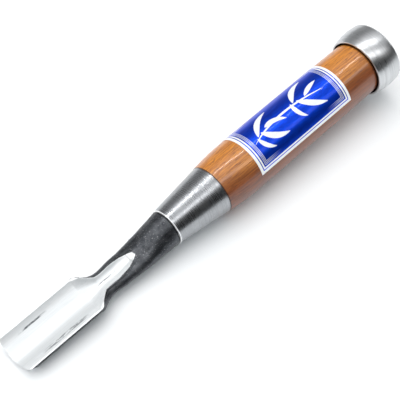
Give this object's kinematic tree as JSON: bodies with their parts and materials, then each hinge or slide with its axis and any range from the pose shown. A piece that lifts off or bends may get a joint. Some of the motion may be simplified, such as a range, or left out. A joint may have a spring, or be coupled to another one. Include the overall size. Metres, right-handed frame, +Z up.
{
  "type": "carving gouge",
  "caption": "Struck carving gouge: laminated hollow blade, round neck, conical ferrule, turned wooden handle and striking hoop.",
  "frame": {"origin": "centre of the flat struck face at the butt of the handle", "axes": "+X runs along the tool's axis from the struck face to the cutting edge, +Z points up out of the channel, +Y completes the right-handed frame"},
  "size_m": [0.2364, 0.0338, 0.0338],
  "materials": {
    "handle_wood": "clear varnish over fine straight-grained orange brown hardwood",
    "hoop_steel": "turned and lightly polished, faint rings round the axis",
    "ferrule_steel": "lathe-turned satin with fine rings near the back",
    "label_foil": null,
    "forged_iron": "black forge scale, slightly pitted",
    "edge_steel": "ground and polished along the channel, fine lengthwise scratches"
  },
  "bodies": {
    "root": {"handle": "handle_wood", "striking_hoop": "hoop_steel", "ferrule": "ferrule_steel", "label": "label_foil", "blade_iron_body": "forged_iron", "blade_steel_lining": "edge_steel"}
  },
  "joints": []
}
